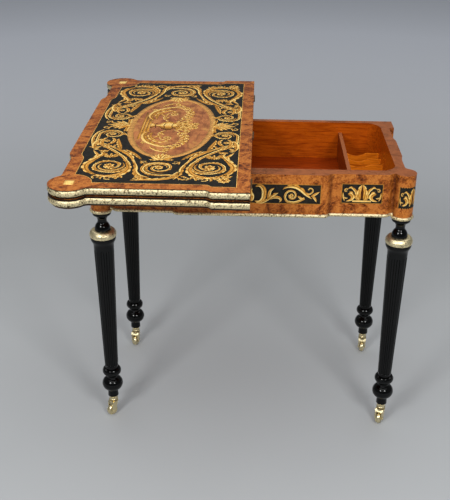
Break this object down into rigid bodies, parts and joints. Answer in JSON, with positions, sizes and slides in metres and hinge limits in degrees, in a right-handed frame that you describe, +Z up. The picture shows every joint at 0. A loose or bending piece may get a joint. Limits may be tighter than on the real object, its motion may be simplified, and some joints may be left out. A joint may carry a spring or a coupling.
{
  "type": "card table",
  "caption": "Swivel-top fold-over card table with an open card well, marquetry top and frieze, brass mouldings and fluted black legs on casters.",
  "frame": {"origin": "on the floor, under the middle of the base", "axes": "+Z up, the frieze front faces -Y, the open well is towards +X"},
  "size_m": [0.8256, 0.866, 0.765],
  "materials": {
    "burr_walnut": "french polished burr veneer",
    "mahogany": "polished",
    "ebonised_wood": "gloss ebonised",
    "black_veneer": "polished ebony ground with inlay",
    "medallion_veneer": "polished marquetry",
    "inlay": "polished boxwood and satinwood",
    "gilt_brass": "gilded, slightly worn",
    "caster_brass": "aged",
    "pivot_steel": "plain",
    "baize": "wool baize"
  },
  "bodies": {
    "frame": {"front_rail": "burr_walnut", "back_rail": "burr_walnut", "left_rail": "burr_walnut", "right_rail": "burr_walnut", "front_left_corner_block": "burr_walnut", "front_right_corner_block": "burr_walnut", "back_left_corner_block": "burr_walnut", "back_right_corner_block": "burr_walnut", "well_bottom": "mahogany", "well_partition": "mahogany", "pivot_rail": "mahogany", "counter_slat_1": "mahogany", "counter_slat_2": "mahogany", "counter_slat_3": "mahogany", "counter_slat_4": "mahogany", "counter_slat_5": "mahogany", "counter_slat_6": "mahogany", "counter_slat_7": "mahogany", "front_centre_panel": "black_veneer", "front_left_panel": "black_veneer", "front_right_panel": "black_veneer", "left_column_panel": "black_veneer", "right_column_panel": "black_veneer", "left_side_panel": "black_veneer", "right_side_panel": "black_veneer", "front_left_leg": "ebonised_wood", "front_right_leg": "ebonised_wood", "back_left_leg": "ebonised_wood", "back_right_leg": "ebonised_wood", "front_left_leg_collar": "gilt_brass", "front_right_leg_collar": "gilt_brass", "back_left_leg_collar": "gilt_brass", "back_right_leg_collar": "gilt_brass", "front_frieze_bead": "gilt_brass", "left_frieze_bead": "gilt_brass", "right_frieze_bead": "gilt_brass", "front_left_caster_socket": "caster_brass", "front_right_caster_socket": "caster_brass", "back_left_caster_socket": "caster_brass", "back_right_caster_socket": "caster_brass"},
    "lower_leaf": {"lower_leaf": "burr_walnut", "lower_leaf_moulding": "gilt_brass", "lower_leaf_baize": "baize", "lower_hinge_plates": "caster_brass", "swivel_stop_peg": "mahogany", "swivel_pivot_bolt": "pivot_steel"},
    "upper_leaf": {"upper_leaf": "burr_walnut", "upper_leaf_moulding": "gilt_brass", "upper_leaf_baize": "baize", "top_marquetry_field": "black_veneer", "top_oval_medallion": "medallion_veneer", "upper_hinge_plates": "caster_brass"},
    "front_left_caster": {"front_left_caster_fork": "caster_brass"},
    "front_left_wheel": {"front_left_caster_wheel": "caster_brass"},
    "front_right_caster": {"front_right_caster_fork": "caster_brass"},
    "front_right_wheel": {"front_right_caster_wheel": "caster_brass"},
    "back_left_caster": {"back_left_caster_fork": "caster_brass"},
    "back_left_wheel": {"back_left_caster_wheel": "caster_brass"},
    "back_right_caster": {"back_right_caster_fork": "caster_brass"},
    "back_right_wheel": {"back_right_caster_wheel": "caster_brass"}
  },
  "joints": [
    {"name": "top_swivel", "type": "hinge", "parent": "frame", "child": "lower_leaf", "pos_m": [-0.105, 0.105, 0.7204], "axis": [0, 0, 1], "range_deg": [0, 90]},
    {"name": "top_fold", "type": "hinge", "parent": "lower_leaf", "child": "upper_leaf", "pos_m": [0, 0, 0.743], "axis": [0, 1, 0], "range_deg": [0, 180]},
    {"name": "front_left_caster_swivel", "type": "hinge", "parent": "frame", "child": "front_left_caster", "pos_m": [-0.361, -0.1745, 0.047], "axis": [0, 0, 1], "continuous": true},
    {"name": "front_left_wheel_roll", "type": "hinge", "parent": "front_left_caster", "child": "front_left_wheel", "pos_m": [-0.3662, -0.17918, 0.0145], "axis": [0.6691, -0.7431, 0], "continuous": true},
    {"name": "front_right_caster_swivel", "type": "hinge", "parent": "frame", "child": "front_right_caster", "pos_m": [0.361, -0.1745, 0.047], "axis": [0, 0, 1], "continuous": true},
    {"name": "front_right_wheel_roll", "type": "hinge", "parent": "front_right_caster", "child": "front_right_wheel", "pos_m": [0.35771, -0.18068, 0.0145], "axis": [0.8829, -0.4695, 0], "continuous": true},
    {"name": "back_left_caster_swivel", "type": "hinge", "parent": "frame", "child": "back_left_caster", "pos_m": [-0.3475, 0.1745, 0.047], "axis": [0, 0, 1], "continuous": true},
    {"name": "back_left_wheel_roll", "type": "hinge", "parent": "back_left_caster", "child": "back_left_wheel", "pos_m": [-0.34896, 0.16765, 0.0145], "axis": [0.9781, -0.2079, 0], "continuous": true},
    {"name": "back_right_caster_swivel", "type": "hinge", "parent": "frame", "child": "back_right_caster", "pos_m": [0.3475, 0.1745, 0.047], "axis": [0, 0, 1], "continuous": true},
    {"name": "back_right_wheel_roll", "type": "hinge", "parent": "back_right_caster", "child": "back_right_wheel", "pos_m": [0.34677, 0.16754, 0.0145], "axis": [0.9945, -0.1045, 0], "continuous": true}
  ]
}
